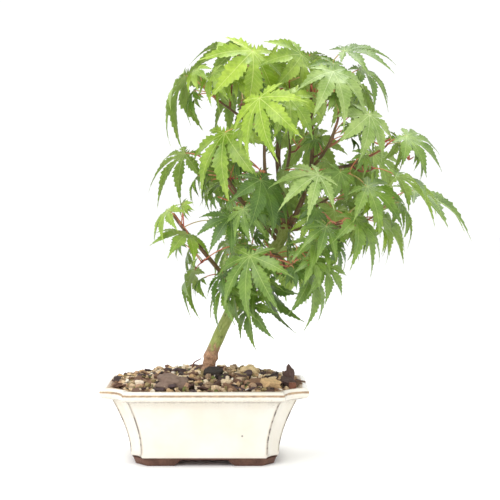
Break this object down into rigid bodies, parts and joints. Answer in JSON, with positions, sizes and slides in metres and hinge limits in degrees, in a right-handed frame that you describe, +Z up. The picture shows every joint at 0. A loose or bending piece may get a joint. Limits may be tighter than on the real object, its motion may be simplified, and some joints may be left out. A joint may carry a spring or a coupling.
{
  "type": "potted japanese maple bonsai",
  "caption": "Small leaning japanese maple grown as a bonsai, with drooping lobed green leaves, in a shallow cream glazed pot with stepped-in corners on low clay feet.",
  "frame": {"origin": "middle of the box round the whole plant, on the ground under the pot's feet", "axes": "+Z up, -Y towards the viewer of the picture, +X to the right, the way that the tree leans"},
  "size_m": [0.3654, 0.245, 0.4081],
  "materials": {
    "pot_glaze": "cream glaze, unglazed brown clay at the feet",
    "soil": "loose bark chips and pumice grains",
    "bark": "smooth green and brown bark",
    "twig": "smooth dark bark",
    "leaf": "thin green leaves"
  },
  "bodies": {
    "root": {"pot": "pot_glaze", "soil": "soil", "trunk": "bark", "leader": "twig", "second_leader": "twig", "upper_right_bough": "twig", "lower_right_bough": "twig", "cut_bough": "twig", "front_bough": "twig", "front_right_bough": "twig", "low_front_bough": "twig", "low_right_bough": "twig", "left_bough": "twig", "left_mid_bough": "twig", "back_bough": "twig", "back_left_bough": "twig", "back_right_bough": "twig", "back_low_bough": "twig", "foliage_top_front": "leaf", "foliage_top_left": "leaf", "foliage_top": "leaf", "foliage_top_back_left": "leaf", "foliage_top_back_right": "leaf", "foliage_top_right": "leaf", "foliage_top_far_right": "leaf", "foliage_upper_front": "leaf", "foliage_upper_right": "leaf", "foliage_right_front": "leaf", "foliage_far_right": "leaf", "foliage_right_end": "leaf", "foliage_right": "leaf", "foliage_right_middle": "leaf", "foliage_right_low": "leaf", "foliage_right_hanging": "leaf", "foliage_centre_left": "leaf", "foliage_centre_right": "leaf", "foliage_left": "leaf", "foliage_far_left": "leaf", "foliage_left_middle": "leaf", "foliage_left_low": "leaf", "foliage_cut_bough_end": "leaf", "foliage_lowest_left": "leaf", "foliage_low_left": "leaf", "foliage_low_front": "leaf", "foliage_lowest": "leaf", "foliage_low_middle": "leaf", "foliage_centre_low": "leaf", "foliage_low_right": "leaf", "foliage_middle_right": "leaf", "foliage_back_top": "leaf", "foliage_back_top_right": "leaf", "foliage_back_top_left": "leaf", "foliage_back_right": "leaf", "foliage_back_middle": "leaf", "foliage_back_left": "leaf", "foliage_back_centre": "leaf", "foliage_back_right_low": "leaf", "foliage_back_low": "leaf", "foliage_back_left_low": "leaf"}
  },
  "joints": []
}
